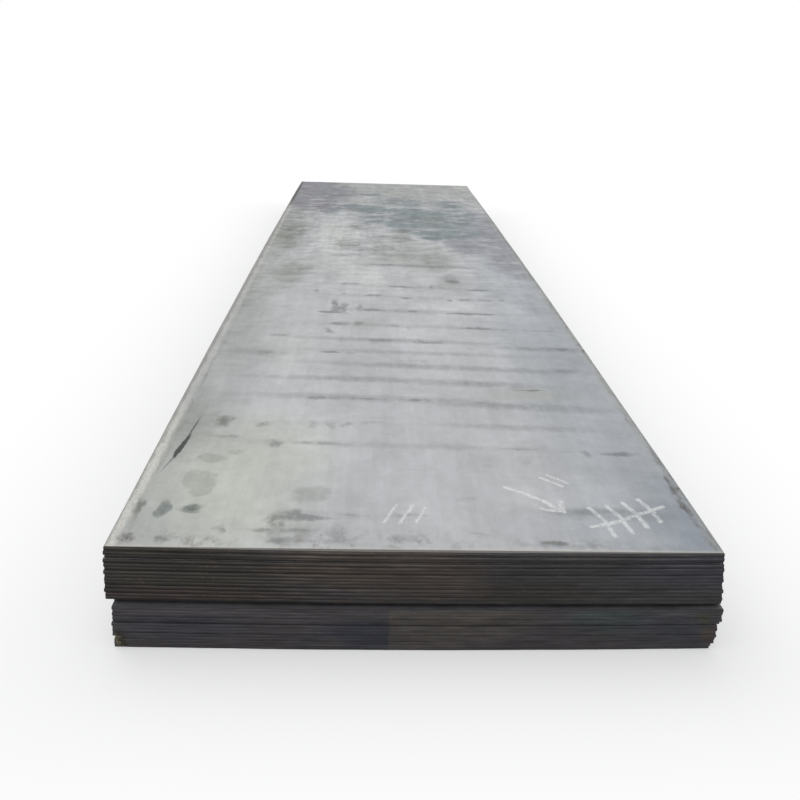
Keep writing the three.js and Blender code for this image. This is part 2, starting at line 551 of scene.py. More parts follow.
def new_group(name, vectors, numbers):
    """An empty node group with the named vector and number inputs, and one mask to give."""
    group = bpy.data.node_groups.new(name, "ShaderNodeTree")
    for kind, sockets in (("NodeSocketVector", vectors), ("NodeSocketFloat", numbers)):
        for socket in sockets:
            group.interface.new_socket(socket, in_out="INPUT", socket_type=kind)
    group.interface.new_socket("Mask", in_out="OUTPUT", socket_type="NodeSocketFloat")
    tree = Tree(group)
    return group, tree, tree.node("NodeGroupInput").outputs


def give_mask(tree, given, fall):
    """The group's mask: strength * (1 - fall), or what is below it if that is more."""
    mask = tree.times(tree.math("SUBTRACT", 1.0, fall), given["Strength"])
    tree.node("NodeGroupOutput", (tree.math("MAXIMUM", mask, given["Below"]),))


def spot_group():
    """A soft oval spot, whose fall is across^2 + along^2, where across and along are the
    distances from its middle in units of its reach."""
    vectors = ("Place", "Middle", "Across", "Along")
    group, tree, given = new_group("Soft spot", vectors, ("Strength", "Below"))
    away = tree.vector("SUBTRACT", given["Place"], given["Middle"])
    across = tree.vector("DOT_PRODUCT", away, given["Across"])
    along = tree.vector("DOT_PRODUCT", away, given["Along"])
    give_mask(tree, given, tree.linear(along, along, tree.times(across, across)))
    return group


def stroke_group():
    """A chalk stroke from its start along its run, whose fall is the distance of the place
    to that line, in units of its half width."""
    numbers = ("Half width", "Strength", "Below")
    group, tree, given = new_group("Chalk stroke", ("Place", "Start", "Run"), numbers)
    run = given["Run"]
    away = tree.vector("SUBTRACT", given["Place"], given["Start"])
    reached = tree.vector("DOT_PRODUCT", away, run)
    share = tree.math("DIVIDE", reached, tree.vector("DOT_PRODUCT", run, run), clamp=True)
    foot = tree.node("ShaderNodeVectorMath", {0: run, "Scale": share}, operation="SCALE")
    distance = tree.vector("DISTANCE", away, foot.outputs[0])
    give_mask(tree, given, tree.math("DIVIDE", distance, given["Half width"]))
    return group


def add_spots(tree, place, spots):
    """A chain of soft spots. A spot is (across, along, reach across, reach along, strength)
    in millimetres from the plate's front left corner, with its turn in degrees if any."""
    group = bpy.data.node_groups.get("Soft spot") or spot_group()
    mask = 0.0
    for across, along, wide, long, strength, *turn in spots:
        angle = math.radians(turn[0]) if turn else 0.0
        cos, sin = math.cos(angle), math.sin(angle)
        wide, long = wide * MM, long * MM
        inputs = {
            "Place": place,
            "Middle": (across * MM, along * MM, 0.0),
            "Across": (cos / wide, sin / wide, 0.0),
            "Along": (-sin / long, cos / long, 0.0),
            "Strength": strength,
            "Below": mask,
        }
        mask = tree.group(group, inputs)
    return mask


# The stain round a cross streak's core is wider and longer than the core by these factors.
# The cores' places along the plate are from a tape that reads 1.45% too far from 900 mm on,
# and less before.
STAIN_SPREAD = (1.2, 1.65)
TAPE_EXCESS = 0.0145
TAPE_EXCESS_FROM = 900.0

# Cores of the top plate's cross streaks, where water lay between it and the plate above.
CROSS_STREAKS = [
    (450, 148, 82, 14, 1.0), (435, 166, 42, 18, 0.9), (590, 163, 65, 6, 0.5),
    (725, 163, 80, 7, 0.5), (1220, 192, 150, 20, 0.6, 2), (1315, 200, 70, 16, 0.45),
    (450, 85, 50, 8, 0.6), (415, 36, 30, 16, 0.85), (510, 36, 80, 9, 0.5),
    (715, 50, 40, 16, 0.6), (1090, 38, 40, 9, 0.75), (1090, 28, 130, 8, 0.5),
    (905, 78, 34, 6, 0.5), (340, 585, 28, 26, 0.85), (480, 590, 120, 11, 0.7),
    (560, 585, 60, 15, 0.45), (745, 597, 30, 9, 0.5), (820, 580, 110, 8, 0.4),
    (900, 575, 28, 22, 0.42), (1075, 568, 95, 10, 0.55), (1285, 545, 19, 22, 0.85),
    (1385, 545, 68, 13, 0.85), (1200, 552, 85, 7, 0.35), (1130, 735, 270, 13, 0.5, -2),
    (1180, 737, 50, 22, 0.35), (185, 628, 62, 10, 0.55), (465, 955, 62, 13, 0.95),
    (620, 955, 92, 11, 0.85, -1), (790, 952, 82, 13, 0.85), (1080, 925, 165, 13, 0.75, -7),
    (1060, 945, 120, 17, 0.35, -6), (1205, 1060, 60, 7, 1.0), (1075, 1090, 92, 10, 0.45, -8),
    (420, 1155, 108, 9, 0.5), (790, 1148, 112, 7, 0.45), (1025, 1120, 92, 15, 0.4, -7),
    (905, 1275, 60, 8, 0.5), (1370, 1270, 82, 23, 0.6), (800, 1345, 112, 15, 0.35),
    (205, 1415, 38, 30, 0.6), (235, 1375, 36, 12, 0.45, -25), (470, 1438, 52, 11, 0.9),
    (552, 1432, 27, 20, 0.55, -30), (510, 1595, 28, 22, 0.45), (665, 1597, 72, 18, 0.85),
    (650, 1565, 25, 20, 0.45), (860, 1578, 86, 15, 0.85), (1260, 1528, 62, 17, 0.6),
    (1400, 1525, 82, 17, 0.8), (1385, 1530, 15, 21, 0.45), (250, 1640, 50, 16, 0.45),
    (1090, 1783, 86, 13, 0.85), (1105, 1786, 19, 19, 0.7), (1190, 1776, 60, 12, 0.45),
    (1345, 1768, 100, 13, 0.4), (735, 1800, 28, 15, 0.65), (795, 1785, 15, 36, 0.4),
    (490, 1818, 46, 23, 0.8), (570, 1825, 26, 25, 0.65), (450, 1712, 48, 13, 0.6, -68),
    (450, 1993, 72, 15, 0.95), (505, 2060, 22, 76, 0.75), (462, 2130, 18, 46, 0.75),
    (470, 2040, 33, 46, 0.7), (640, 2040, 76, 14, 0.85, -2), (575, 2065, 21, 52, 0.5),
    (745, 2030, 21, 21, 0.5), (820, 2028, 31, 19, 0.85), (1090, 2005, 132, 14, 0.95),
    (1240, 2000, 30, 13, 0.3), (800, 2255, 46, 14, 0.6), (1010, 2235, 17, 24, 0.55),
    (1080, 2240, 42, 22, 0.45), (1180, 2245, 52, 20, 0.45), (1275, 2245, 16, 22, 0.4),
    (640, 2292, 60, 18, 0.65), (500, 2310, 14, 24, 0.55), (360, 2360, 20, 28, 0.5),
    (530, 2510, 72, 15, 0.5), (780, 2465, 82, 18, 0.65), (940, 2480, 16, 38, 0.5),
    (1060, 2590, 42, 34, 0.55), (1170, 2430, 72, 15, 0.6), (1150, 2905, 62, 16, 0.45),
]

# Faint bands that join the streaks up, with a slight fall to the right.
STREAK_BANDS = [
    (560, 160, 420, 30, 0.3, -1), (1230, 180, 300, 42, 0.45, -3), (720, 578, 760, 34, 0.38, -2),
    (1100, 722, 420, 34, 0.48, -3), (520, 730, 420, 30, 0.25), (620, 948, 640, 44, 0.55, -3),
    (1150, 895, 420, 52, 0.62, -5), (560, 1128, 520, 40, 0.6, -2), (1000, 1100, 400, 48, 0.62, -4),
    (900, 1265, 720, 44, 0.6, -4), (800, 1425, 720, 40, 0.5, -3), (760, 1572, 640, 42, 0.6, -3),
    (1330, 1500, 330, 44, 0.6, -3), (190, 1405, 230, 56, 0.45), (820, 1775, 640, 44, 0.4, -2),
    (820, 2000, 620, 50, 0.5, -2), (760, 2240, 560, 48, 0.42, -3), (820, 2430, 560, 50, 0.42, -3),
    (930, 2885, 480, 52, 0.55, -1), (420, 2660, 420, 44, 0.3), (700, 3150, 620, 60, 0.4),
    (620, 4380, 640, 60, 0.35, -2),
]

# Darker blotches further along the plate.
FAR_BLOTCHES = [
    (104, 3864, 46, 110, 1.3), (108, 3574, 44, 90, 1.1), (150, 3330, 50, 120, 0.6),
    (480, 3400, 110, 200, 0.9), (610, 3260, 130, 90, 0.7), (720, 3330, 90, 120, 0.7),
    (700, 3690, 110, 75, 0.7), (820, 3600, 110, 130, 0.8), (1050, 3665, 90, 80, 0.7),
    (1240, 3400, 50, 70, 0.5), (860, 3890, 110, 110, 0.7), (860, 4300, 110, 90, 0.7),
    (1060, 4320, 150, 120, 0.8), (1045, 4110, 90, 60, 0.6), (480, 4640, 90, 120, 0.8),
    (600, 4580, 130, 75, 0.7), (335, 4440, 80, 90, 0.5), (780, 4980, 80, 170, 0.6),
    (720, 2905, 260, 30, 0.6), (950, 3010, 60, 130, 0.7), (1000, 2850, 110, 60, 0.6),
    (1050, 2600, 70, 80, 0.6), (600, 2870, 30, 50, 0.5), (450, 3105, 80, 50, 0.5),
    (560, 4020, 120, 190, 0.75), (270, 2760, 60, 90, 0.5), (600, 1800, 80, 90, 0.35),
    (1060, 5005, 130, 60, 0.5), (640, 5510, 120, 45, 0.5), (800, 5500, 120, 30, 0.3),
    (1050, 5420, 90, 35, 0.5), (220, 5350, 150, 50, 0.5), (240, 2050, 60, 60, 0.35),
]

# Blots and smears near the front end and along the left side.
NEAR_BLOTS = [
    (30, 195, 22, 48, 0.8), (168, 184, 50, 28, 0.9), (165, 735, 42, 55, 0.95),
    (110, 785, 55, 16, 0.4), (290, 717, 28, 28, 0.55), (450, 720, 22, 44, 0.4),
    (505, 720, 25, 44, 0.45), (555, 730, 20, 40, 0.45), (640, 745, 75, 16, 0.35),
    (125, 40, 30, 22, 0.7), (360, 85, 42, 14, 0.6), (260, 90, 18, 36, 0.6),
    (895, 250, 38, 22, 0.35), (975, 452, 30, 18, 0.35), (1090, 475, 20, 40, 0.3),
    (395, 120, 30, 84, 0.6), (560, 70, 38, 72, 0.5), (1085, 42, 50, 13, 0.75),
    (1175, 190, 100, 20, 0.34), (1290, 200, 60, 22, 0.28), (215, 1397, 42, 32, 0.4),
    (293, 1766, 24, 24, 0.4), (253, 1612, 52, 20, 0.4), (200, 2371, 50, 24, 0.45),
    (249, 2555, 36, 34, 0.5), (45, 2039, 32, 32, 0.4), (40, 1508, 36, 40, 0.4),
    (373, 1337, 26, 24, 0.28),
]

# Dried water: smooth patches, a little darker towards the rim.
WATER_MARKS = [
    (160, 345, 52, 66, 1.0, 14), (182, 300, 30, 60, 0.8, -30), (172, 478, 48, 30, 0.7, -12),
    (466, 262, 60, 56, 0.42), (500, 290, 36, 34, 0.36), (236, 520, 30, 24, 0.4),
]

# Drips with an even outline.
DRIPS = [
    (104, 190, 21, 52, 1.1), (92, 160, 14, 26, 0.7), (166, 186, 16, 24, 0.8),
]

# Dirt in a crooked line inside the right edge, and on the front left corner.
EDGE_DIRT = [
    (1482, 378, 14, 54, 0.9), (1479, 322, 15, 42, 1.0), (1481, 270, 12, 44, 0.6),
    (1475, 224, 15, 52, 1.0), (1476, 145, 12, 56, 0.55), (1477, 48, 12, 56, 0.5),
    (1486, 480, 10, 80, 0.45), (1486, 800, 9, 140, 0.4), (42, 44, 28, 24, 0.85),
]

# The scratch by the left edge: middle, reach across and along, strength.
SCRATCH = [
    (71, 550, 98, 9, 1.2, 84), (68, 530, 66, 10, 1.0, 84), (79, 670, 130, 5, 0.42, 86),
    (58, 450, 100, 4, 0.35, 80),
]

# Tints that lie over the scale, partly its own colours and partly painted reflection and shade:
# the greenish light at the near left, the bluish dark at the right and the dark far end stand
# in for what the scale mirrors. Colour, then (across, along, reach, reach, strength).
SCALE_TINTS_AND_REFLECTIONS = [
    ((0.555, 0.565, 0.552), [
        (400, 3720, 190, 620, 1.0), (600, 2600, 170, 300, 0.6), (1000, 2150, 130, 220, 0.45),
        (430, 600, 170, 560, 0.35), (820, 2100, 150, 200, 0.25), (1010, 1400, 100, 160, 0.35),
        (1350, 3030, 110, 150, 0.4)]),
    ((0.515, 0.530, 0.478), [
        (230, 360, 330, 640, 0.75), (300, 1450, 160, 420, 0.35), (420, 2900, 220, 420, 0.4)]),
    ((0.275, 0.285, 0.265), [
        (0, 3000, 330, 4700, 0.55), (60, 700, 120, 420, 0.65), (50, 3650, 210, 640, 1.0),
        (190, 2640, 150, 360, 0.75), (230, 3000, 120, 170, 0.35)]),
    ((0.305, 0.335, 0.365), [
        (1500, 1600, 470, 3700, 0.55), (1380, 1180, 260, 420, 0.5), (1220, 900, 150, 130, 0.45),
        (1220, 3450, 150, 420, 0.6)]),
    ((0.255, 0.285, 0.325), [(1550, 20, 290, 600, 0.75), (1200, 130, 330, 150, 0.3)]),
    ((0.360, 0.370, 0.355), [
        (860, 3150, 330, 520, 0.7), (1010, 2960, 140, 260, 0.75), (1060, 2560, 120, 160, 0.5),
        (600, 1790, 150, 170, 0.45), (430, 90, 130, 110, 0.55), (1190, 980, 190, 130, 0.75),
        (700, 3450, 200, 260, 0.5), (1190, 1000, 160, 120, 0.6), (600, 3030, 150, 150, 0.4),
        (810, 3800, 130, 190, 0.6)]),
    ((0.215, 0.225, 0.205), [
        (105, 3740, 105, 300, 0.7), (60, 4230, 130, 260, 0.4), (50, 3400, 110, 240, 0.45),
        (60, 980, 90, 150, 0.3)]),
    ((0.385, 0.392, 0.382), [(750, 5950, 1500, 1350, 1.0)]),
    ((0.545, 0.560, 0.530), [(1450, 5850, 150, 170, 0.6), (800, 5420, 150, 110, 0.35)]),
    ((0.270, 0.278, 0.312), [
        (1430, 3700, 270, 1050, 1.0), (1230, 3450, 170, 420, 0.85), (1500, 2950, 220, 560, 0.7)]),
    ((0.195, 0.238, 0.250), [
        (1000, 4480, 300, 300, 1.2), (880, 4080, 210, 360, 1.05), (1060, 4120, 230, 330, 0.9),
        (1060, 3740, 190, 210, 1.0), (480, 4800, 130, 190, 1.05), (610, 4660, 200, 260, 1.0),
        (780, 4600, 260, 240, 0.9), (900, 5000, 360, 340, 0.55), (1240, 4400, 220, 620, 0.6),
        (650, 4230, 160, 280, 0.7), (760, 5050, 80, 220, 0.6), (1190, 3850, 190, 300, 0.85),
        (610, 5400, 150, 130, 0.9), (1270, 4950, 200, 260, 0.65), (300, 4640, 170, 190, 0.85),
        (1350, 4200, 130, 260, 0.35)]),
    ((0.205, 0.206, 0.236), [
        (150, 5420, 430, 700, 1.0), (230, 4800, 240, 340, 0.9), (80, 5880, 360, 400, 1.0),
        (400, 5400, 220, 170, 0.6), (40, 5000, 170, 330, 1.1)]),
]

# Chalk lines of the top plate: half width, strength, and the points that each runs through.
CHALK_LINES = [
    (9, 0.95, [(1004, 322), (1052, 290), (1098, 246), (1140, 190)]),
    (9, 0.95, [(1140, 190), (1086, 206)]),
    (9, 0.9, [(1140, 190), (1142, 248)]),
    (8, 0.7, [(1112, 384), (1166, 330)]),
    (8, 0.6, [(1136, 398), (1186, 350)]),
    (9, 1.0, [(1212, 214), (1238, 152), (1246, 72)]),
    (9, 0.95, [(1262, 226), (1284, 168), (1294, 92)]),
    (9, 0.95, [(1310, 244), (1330, 190), (1340, 118)]),
    (9, 1.0, [(1358, 262), (1376, 214), (1384, 146)]),
    (9, 1.0, [(1196, 118), (1280, 148), (1344, 188), (1416, 226)]),
    (7, 0.55, [(668, 128), (700, 216)]),
    (7, 0.6, [(706, 124), (742, 214)]),
    (7, 0.5, [(750, 130), (776, 204)]),
]

# How far from the left the tone of the lower ends steps.
TONE_STEP = 0.682

# Tints of the sheared ends: colour, then (across, height, reach, reach, strength), and
# which side of the step of tone they keep to, or that they are mottled.
UPPER_END_TINTS = [
    ((0.0245, 0.0215, 0.0180), [(60, 200, 470, 170, 0.9), (1000, 160, 300, 50, 0.5)]),
    ((0.046, 0.036, 0.030), [(640, 230, 330, 75, 0.9), (800, 185, 190, 50, 0.6)]),
    ((0.058, 0.045, 0.039), [(760, 250, 90, 30, 0.7), (520, 262, 110, 16, 0.6)]),
    ((0.037, 0.037, 0.045), [(1430, 225, 250, 60, 0.8)]),
    ((0.030, 0.021, 0.019), [(240, 150, 420, 26, 0.55), (640, 146, 200, 18, 0.4)]),
]
LOWER_END_TINTS = [
    ((0.064, 0.057, 0.052), [
        (860, 85, 240, 70, 0.9), (760, 30, 150, 40, 0.8), (690, 70, 90, 80, 0.9)], "right"),
    ((0.040, 0.048, 0.049), [(1230, 95, 130, 50, 0.8)]),
    ((0.038, 0.041, 0.052), [(1420, 60, 190, 80, 0.5)]),
    ((0.040, 0.040, 0.050), [(610, 30, 170, 52, 0.9), (180, 66, 170, 46, 0.8)], "left"),
    ((0.033, 0.034, 0.045), [(640, 52, 150, 50, 0.8)], "left"),
    ((0.043, 0.043, 0.031), [(1476, 95, 34, 28, 0.6)]),
    ((0.055, 0.045, 0.040), [(1483, 46, 24, 36, 0.9), (540, 20, 60, 25, 0.4)]),
    ((0.026, 0.023, 0.014), [(32, 30, 22, 30, 1.0)]),
    ((0.190, 0.165, 0.110), [(22, 25, 15, 26, 0.9)], "mottled"),
]

# What differs between the bundles: the slot, the colours of hidden faces and of mill edges,
# the tints of the ends, and how strong the painted highlight on the ends' burnished bands and
# the painted shade in their seams are.
BUNDLE_LOOKS = {
    "upper": {
        "slot": "mill_scale_steel", "face": (0.34, 0.345, 0.36), "edge": (0.085, 0.083, 0.088),
        "tints": UPPER_END_TINTS, "burnish_highlight": 1.15, "seams": 0.68,
    },
    "lower": {
        "slot": "weathered_steel", "face": (0.12, 0.118, 0.125), "edge": (0.070, 0.068, 0.075),
        "tints": LOWER_END_TINTS, "burnish_highlight": 0.20, "seams": 0.16,
    },
}

SCUFF_COLOUR = (0.21, 0.21, 0.205)

# Colours of the marks and the dirt on the top plate, and of the painted highlight and the
# painted shade at its edges.
MARKS = {
    "streak": (0.130, 0.136, 0.142),
    "blot": (0.150, 0.160, 0.138),
    "water": (0.205, 0.212, 0.185),
    "drip": (0.120, 0.148, 0.142),
    "scratch": (0.016, 0.019, 0.019),
    "worn edge": (0.640, 0.630, 0.600),
    "worn speck": (0.270, 0.260, 0.225),
    "left dirt": (0.150, 0.148, 0.125),
    "left rim": (0.095, 0.090, 0.075),
    "painted far left shade": (0.022, 0.022, 0.023),
    "right edge": (0.400, 0.395, 0.370),
    "right speck": (0.150, 0.145, 0.130),
    "right dirt": (0.100, 0.096, 0.090),
    "front smudge": (0.150, 0.146, 0.126),
    "painted front highlight": (0.520, 0.500, 0.440),
    "painted front edge shade": (0.080, 0.074, 0.066),
}


def new_material(name, metallic=0.0, specular=0.5):
    """A material with an empty tree but for its surface shader."""
    material = bpy.data.materials.new(name)
    material.use_nodes = True
    material.node_tree.nodes.clear()
    tree = Tree(material.node_tree)
    shader = tree.node("ShaderNodeBsdfPrincipled")
    tree.node("ShaderNodeOutputMaterial", (shader.outputs[0],))
    shader.inputs["Metallic"].default_value = metallic
    shader.inputs["Specular IOR Level"].default_value = specular
    return material, tree, shader


def seen_ray(tree):
    """1 for a ray that shows the background: from the camera, a gloss or through glass."""
    path = tree.node("ShaderNodeLightPath").outputs
    shown = tree.math("MAXIMUM", path["Is Camera Ray"], path["Is Glossy Ray"])
    return tree.math("MAXIMUM", shown, path["Is Transmission Ray"])


def plan_place(tree):
    """Object coordinates in plan, with the top plate's front left corner as the origin."""
    moved = tree.node("ShaderNodeMapping", {0: tree.place()})
    moved.inputs["Location"].default_value = tuple(-c for c in FRONT_LEFT)
    moved.inputs["Scale"].default_value = (1.0, 1.0, 0.0)
    return moved.outputs[0]


def scale_with_tints_and_reflections(tree, plan, depth, finish):
    """The scale's colour under its tints and painted reflection: wide soft spots whose outlines
    noise bends, torn into short dashes towards the far end."""
    bent = tree.moved(plan, (0.13, 0.21), 2.6, 4.0, 0.6)
    dashes = tree.math("SUBTRACT", tree.noise(plan, (7.0, 9.5), 5.0, 0.66), 0.5)
    torn = tree.linear(tree.times(dashes, depth), 4.2, 1.0)
    colour = solid(finish.scale_and_reflection_colour)
    for tint, spots in SCALE_TINTS_AND_REFLECTIONS:
        mask = tree.times(add_spots(tree, bent, spots), torn)
        colour = tree.paint(colour, tree.spread(mask, 0.0, 0.9), tint)
    return colour


def scale_shade(tree, plan, along, depth):
    """Light and dark of the scale: broad clouds, bands and fine lines along the rolling
    direction, mottling and grain. The far half is darker, a painted reflection, with dashes
    across the plate and brushed lines along it. The second result is the relief of the scale."""
    noise, spread = tree.noise, tree.spread
    clouds = spread(noise(plan, (4.16, 2.72), 5.0, 0.62), 0.3, 0.7, 0.90, 1.07)
    bands = spread(noise(plan, (11.0, 0.9), 5.0, 0.68), 0.3, 0.7, 0.945, 1.05)
    lines = spread(noise(plan, (54.0, 1.6), 3.0, 0.6), 0.3, 0.7, 0.982, 1.018)
    mottle = spread(noise(plan, (24.0, 15.0), 5.0, 0.68), 0.28, 0.72, 0.94, 1.045)
    grain = spread(noise(plan, 420.0, 2.0, 0.6), 0.25, 0.75, 0.95, 1.04)
    shade = tree.times(clouds, bands, lines, mottle, grain)
    dashes = spread(noise(plan, (9.0, 13.0), 5.0, 0.7), 0.34, 0.66, -0.23, 0.13)
    brushed = spread(noise(plan, (15.0, 2.2), 4.0, 0.66), 0.32, 0.68, -0.09, 0.07)
    patchy = tree.times(tree.math("ADD", dashes, brushed), depth)
    shade = tree.linear(patchy, shade, shade)
    # Painted reflection: the scale darkens towards the far end.
    shade = tree.times(shade, spread(along, 2.7, 4.7, 0.985, 0.86))
    return shade, tree.linear(mottle, 1.5, grain)


def stains(cores):
    """The soft spots of the stains round the streaks' cores: each core's reaches times the
    spread, at its place along the plate less the tape's excess."""
    for across, along, wide, long, *rest in cores:
        along *= 1.0 - TAPE_EXCESS * min(1.0, along / TAPE_EXCESS_FROM)
        yield across, along, wide * STAIN_SPREAD[0], long * STAIN_SPREAD[1], *rest


def streaked(tree, plan, along):
    """How dark the cross streaks are: the drawn ones, the bands that join them up, and thin
    noise stretched across the plate. The second result is the wobbled place, so that blots
    can share the wobble, and the third breaks a mark up into patches."""
    noise, spread = tree.noise, tree.spread
    wobbled = tree.moved(plan, (0.040, 0.017), 18.0, 4.0, 0.68)
    broken = spread(noise(plan, (30.0, 16.0), 4.0, 0.62), 0.28, 0.68, 0.55, 1.15)
    streaks = add_spots(tree, wobbled, stains(CROSS_STREAKS))
    streaks = tree.times(streaks, broken, spread(along, 1.2, 2.4, 1.05, 1.55))
    bands = tree.times(spread(add_spots(tree, wobbled, STREAK_BANDS), 0.0, 1.0), broken)
    hair = spread(noise(wobbled, (3.2, 34.0), 4.0, 0.6), 0.56, 0.78, 0.0, 0.45)
    hair = tree.times(hair, spread(noise(plan, (3.0, 2.2), 3.0, 0.5), 0.40, 0.62))
    dark = tree.math("MAXIMUM", spread(streaks, 0.0, 1.0), hair)
    return tree.math("MAXIMUM", dark, bands), wobbled, broken


def marked(tree, colour, plan, wobbled, broken, crumbs, soft):
    """The colour with blots, far blotches, dried water and drips on it."""
    spread, times = tree.spread, tree.times
    loose = tree.moved(plan, (0.045, 0.06), 9.0, 4.0, 0.6)
    flecked = spread(tree.noise(plan, (13.0, 10.0), 6.0, 0.76), 0.38, 0.60, 0.45, 1.30)
    blotches = add_spots(tree, loose, FAR_BLOTCHES)
    blotches = spread(times(blotches, flecked, tree.linear(crumbs, 0.55, 0.5)), 0.06, 0.90)
    blots = times(add_spots(tree, wobbled, NEAR_BLOTS), spread(crumbs, 0.4, 1.3, 0.70, 1.15))
    blots = spread(blots, 0.0, 1.0)
    green = tree.math("MAXIMUM", times(blots, 0.86), times(blotches, 0.56))
    water = add_spots(tree, soft, WATER_MARKS)
    wet = times(spread(water, 0.0, 0.35), spread(water, 1.0, 0.2, 0.8, 1.0), broken)
    drips = spread(add_spots(tree, soft, DRIPS), 0.0, 0.8)
    drips = times(drips, spread(crumbs, 0.4, 1.3, 0.80, 1.0))
    colour = tree.paint(colour, green, MARKS["blot"])
    colour = tree.paint(colour, wet, MARKS["water"], 0.36)
    return tree.paint(colour, drips, MARKS["drip"], 0.80)


def edged(tree, colour, plan, across, along, crumbs, soft):
    """The colour with its edges: a bright worn strip at the left, with painted shade along its
    far part, a beige one with a line of dirt at the right, and at the front smudges, a painted
    highlight along the edge and painted shade right at it."""
    noise, spread, times, paint = tree.noise, tree.spread, tree.times, tree.paint
    ragged = tree.math("SUBTRACT", noise(plan, (30.0, 9.0), 5.0, 0.7), 0.5)
    patches = spread(noise(plan, (26.0, 5.0), 5.0, 0.70), 0.42, 0.60)
    flecks = times(patches, spread(crumbs, 0.5, 1.2))
    speckled = spread(noise(plan, 150.0, 4.0, 0.7), 0.40, 0.62, 0.0, 0.5)
    speckled = tree.math("MAXIMUM", speckled, times(flecks, 0.62))

    from_left = tree.linear(ragged, 0.035, across)
    strip = times(spread(from_left, 0.032, 0.018, 0.0, 0.88), spread(along, 0.95, 0.60, 0.35, 1.0))
    worn = tree.mix(speckled, solid(MARKS["worn edge"]), solid(MARKS["worn speck"]))
    colour = tree.mix(strip, colour, worn)
    dirt = tree.math("ABSOLUTE", tree.math("SUBTRACT", from_left, 0.036))
    dirt = times(spread(dirt, 0.012, 0.0, 0.0, 0.45), patches, spread(along, 2.0, 1.0, 0.4, 1.0))
    colour = paint(colour, dirt, MARKS["left dirt"])
    colour = paint(colour, spread(from_left, 0.008, 0.002, 0.0, 0.42), MARKS["left rim"])
    # Painted shade: a dark band along the far part of the left edge, where the side of the stack
    # lies in shade.
    shaded = times(spread(from_left, 0.030, 0.014, 0.0, 0.95), spread(along, 4.55, 5.1))
    colour = paint(colour, shaded, MARKS["painted far left shade"])

    from_right = tree.linear(ragged, 0.05, tree.math("SUBTRACT", TOP_WIDTH, across))
    beige = times(spread(from_right, 0.030, 0.006, 0.0, 0.55), tree.linear(patches, -0.5, 1.0))
    grit = tree.mix(speckled, solid(MARKS["right edge"]), solid(MARKS["right speck"]))
    colour = tree.mix(beige, colour, grit)
    line = times(spread(from_right, 0.010, 0.002, 0.0, 0.55), tree.linear(flecks, 0.65, 0.35))
    grime = times(spread(add_spots(tree, soft, EDGE_DIRT), 0.0, 0.95, 0.0, 0.80), crumbs)
    colour = paint(colour, tree.math("MAXIMUM", line, grime), MARKS["right dirt"])

    reach = times(spread(along, 0.125, 0.010), spread(across, 0.55, 1.05, 1.0, 0.45))
    clumps = spread(noise(plan, (7.0, 10.0), 3.0, 0.5), 0.40, 0.60, 0.15, 1.0)
    smudge = spread(noise(plan, (27.0, 17.0), 5.0, 0.74), 0.44, 0.62)
    colour = paint(colour, times(smudge, reach, clumps), MARKS["front smudge"], 0.68)
    # Painted highlight: a pale rim along the front edge, as where the rolled-over edge catches the
    # light. The next line paints shade: a thin dark line right at the front edge.
    colour = paint(colour, spread(along, 0.016, 0.006, 0.0, 0.45), MARKS["painted front highlight"])
    return paint(colour, spread(along, 0.0050, 0.0010, 0.0, 0.85), MARKS["painted front edge shade"])


def chalked(tree, plan):
    """The mask of the chalk: dry strokes that skip over the grain of the scale."""
    stroke = stroke_group()
    drawn = tree.moved(plan, (0.007, 0.007), 34.0, 3.0, 0.6)
    chalk = 0.0
    for half_width, strength, points in CHALK_LINES:
        for (x0, y0), (x1, y1) in zip(points, points[1:]):
            inputs = {
                "Place": drawn,
                "Start": (x0 * MM, y0 * MM, 0.0),
                "Run": ((x1 - x0) * MM, (y1 - y0) * MM, 0.0),
                "Half width": half_width * MM,
                "Strength": strength,
                "Below": chalk,
            }
            chalk = tree.group(stroke, inputs)
    skip = tree.spread(tree.noise(plan, 260.0, 3.0, 0.7), 0.40, 0.60, 0.28, 1.0)
    dry = tree.spread(tree.noise(plan, (75.0, 40.0), 3.0, 0.6), 0.38, 0.56, 0.50, 1.0)
    return tree.times(tree.spread(chalk, 0.0, 0.55), skip, dry)


def top_scale_material(finish):
    """Mill scale, partly paled and tinted by painted reflection, with cross streaks, blots, a
    scratch, chalk, dirty edges, a painted highlight along the front edge and painted shade at
    the front and far left edges.
    """
    material, tree, shader = new_material("Top plate mill scale", metallic=0.15, specular=0.3)
    plan = plan_place(tree)
    across, along, _ = tree.split(plan)
    depth = tree.spread(along, 1.4, 4.0, 0.12, 1.0)
    crumbs = tree.spread(tree.noise(plan, (46.0, 22.0), 5.0, 0.74), 0.38, 0.60, 0.40, 1.30)
    jagged = tree.moved(plan, (0.005, 0.005), 60.0, 3.0, 0.6)
    soft = tree.moved(jagged, (0.025, 0.030), 14.0, 3.0, 0.55, at=plan)
    scratch = tree.spread(add_spots(tree, jagged, SCRATCH), 0.0, 0.6)

    colour = scale_with_tints_and_reflections(tree, plan, depth, finish)
    shade, relief = scale_shade(tree, plan, along, depth)
    dark, wobbled, broken = streaked(tree, plan, along)
    colour = tree.paint(colour, dark, MARKS["streak"], finish.streak_depth)
    colour = marked(tree, colour, plan, wobbled, broken, crumbs, soft)
    colour = tree.paint(colour, scratch, MARKS["scratch"], 0.95)
    colour = tree.shaded(colour, shade)
    colour = edged(tree, colour, plan, across, along, crumbs, soft)
    chalk = chalked(tree, plan)
    colour = tree.paint(colour, chalk, finish.chalk_colour, 0.85)
    roughness = tree.linear(chalk, 0.30, tree.linear(dark, 0.10, 0.54))
    relief = tree.linear(scratch, -1.0, tree.linear(chalk, 0.25, relief))
    tree.surface(shader, colour, roughness, relief, 0.35, 0.0012)
    return material


